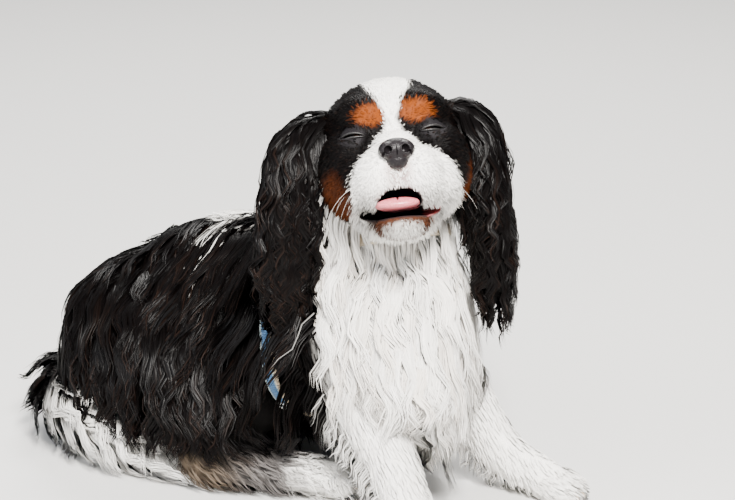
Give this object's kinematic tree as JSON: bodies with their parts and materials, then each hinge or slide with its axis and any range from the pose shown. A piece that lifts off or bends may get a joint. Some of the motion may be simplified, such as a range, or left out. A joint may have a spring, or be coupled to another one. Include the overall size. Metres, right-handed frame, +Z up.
{
  "type": "cavalier king charles spaniel model",
  "caption": "Life-size still model of a seated long-coated toy spaniel, head turned up to its right, with long feathered ears, bib, plumed tail and a worn harness.",
  "frame": {"origin": "middle of the dog's footprint box on the floor it sits on", "axes": "+X the way its trunk faces, +Y its left side, +Z up; the head is turned to its right, towards -Y"},
  "size_m": [0.503, 0.3084, 0.3518],
  "materials": {
    "black_coat": "glossy black long hair with brown lights",
    "white_coat": "silky white long hair",
    "tan_coat": "short rich tan hair",
    "nose_leather": "pebbled black nose leather, slightly damp",
    "tongue": "moist pink tongue",
    "eye": "dark brown, wet gloss",
    "webbing": "flat woven blue webbing with pale edges",
    "claw": "dark horn"
  },
  "bodies": {
    "root": {"barrel": "black_coat", "chest": "white_coat", "ear_left": "black_coat", "ear_right": "black_coat", "eye_left": "eye", "eye_right": "eye", "fore_paw_left": "white_coat", "fore_paw_right": "white_coat", "foreleg_left": "white_coat", "foreleg_right": "white_coat", "harness_girth_strap": "webbing", "harness_neck_loop": "webbing", "head": "black_coat", "hind_foot_left": "white_coat", "hind_foot_right": "white_coat", "hind_leg_left": "black_coat", "hind_leg_right": "black_coat", "hind_paw_left": "white_coat", "hind_paw_right": "white_coat", "jaw": "white_coat", "neck": "white_coat", "nose": "nose_leather", "rump": "black_coat", "tail": "white_coat", "tongue": "tongue"}
  },
  "joints": []
}
